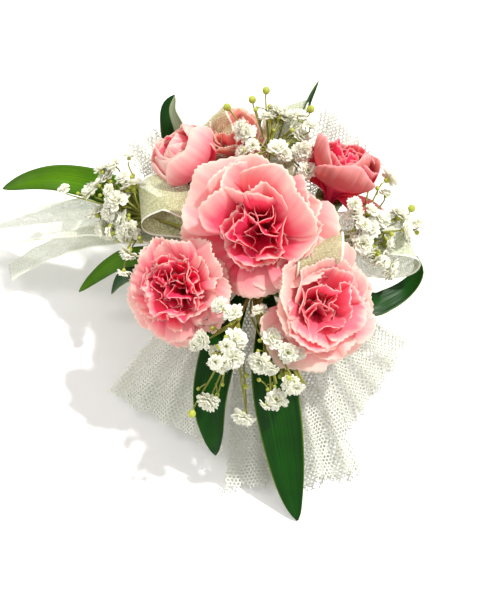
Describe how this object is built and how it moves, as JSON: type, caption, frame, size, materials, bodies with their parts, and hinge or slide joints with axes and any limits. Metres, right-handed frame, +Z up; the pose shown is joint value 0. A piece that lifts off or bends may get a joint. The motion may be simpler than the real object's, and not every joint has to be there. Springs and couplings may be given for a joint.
{
  "type": "wrist corsage",
  "caption": "Wrist corsage of pink mini carnations, baby's breath, ruscus leaves, organza ribbon loops and tulle on an elastic wristband.",
  "frame": {"origin": "middle of the wristband's flat underside, which rests on the table", "axes": "+Z up, +X to the corsage's right along the wristband, +Y to its back through the wristband's loop"},
  "size_m": [0.1676, 0.1407, 0.0848],
  "materials": {
    "band_satin": "satin",
    "clip_plastic": "matte",
    "floral_tape": "matte",
    "floral_wire": "satin",
    "calyx_green": "matte",
    "petal_crimson": "velvet",
    "petal_pink": "velvet",
    "petal_pale": "velvet",
    "leaf_bright": "waxy",
    "leaf_dark": "waxy",
    "sprig_white": "matte",
    "organza": "sheer",
    "tulle_net": "matte"
  },
  "bodies": {
    "root": {"wristband": "band_satin", "clip_plate": "clip_plastic", "stem_bundle": "floral_tape", "binding_wire": "floral_wire", "calyx_centre": "calyx_green", "calyx_front_left": "calyx_green", "calyx_front_right": "calyx_green", "calyx_back_left": "calyx_green", "calyx_back_right": "calyx_green", "calyx_back": "calyx_green", "petals_centre": "petal_crimson", "petals_front_left": "petal_pink", "petals_front_right": "petal_pale", "petals_back_left": "petal_pink", "petals_back_right": "petal_crimson", "petals_back": "petal_pale", "stem_centre": "floral_tape", "stem_front_left": "floral_tape", "stem_front_right": "floral_tape", "stem_back_left": "floral_tape", "stem_back_right": "floral_tape", "stem_back": "floral_tape", "leaf_left_long": "leaf_bright", "leaf_left_short": "leaf_bright", "leaf_left_under": "leaf_dark", "leaf_back_left": "leaf_dark", "leaf_back_right": "leaf_dark", "leaf_right": "leaf_bright", "leaf_front_left": "leaf_dark", "leaf_front_right": "leaf_dark", "sprig_left": "sprig_white", "sprig_back": "sprig_white", "sprig_right": "sprig_white", "sprig_front_left": "sprig_white", "sprig_front_right": "sprig_white", "ribbon_loop_left": "organza", "ribbon_loop_right": "organza", "ribbon_loop_back": "organza", "ribbon_loop_top": "organza", "ribbon_loop_side": "organza", "ribbon_tail": "organza", "tulle_front_left": "tulle_net", "tulle_front": "tulle_net", "tulle_front_right": "tulle_net", "tulle_right": "tulle_net", "tulle_back_right": "tulle_net", "tulle_back_left": "tulle_net"}
  },
  "joints": []
}
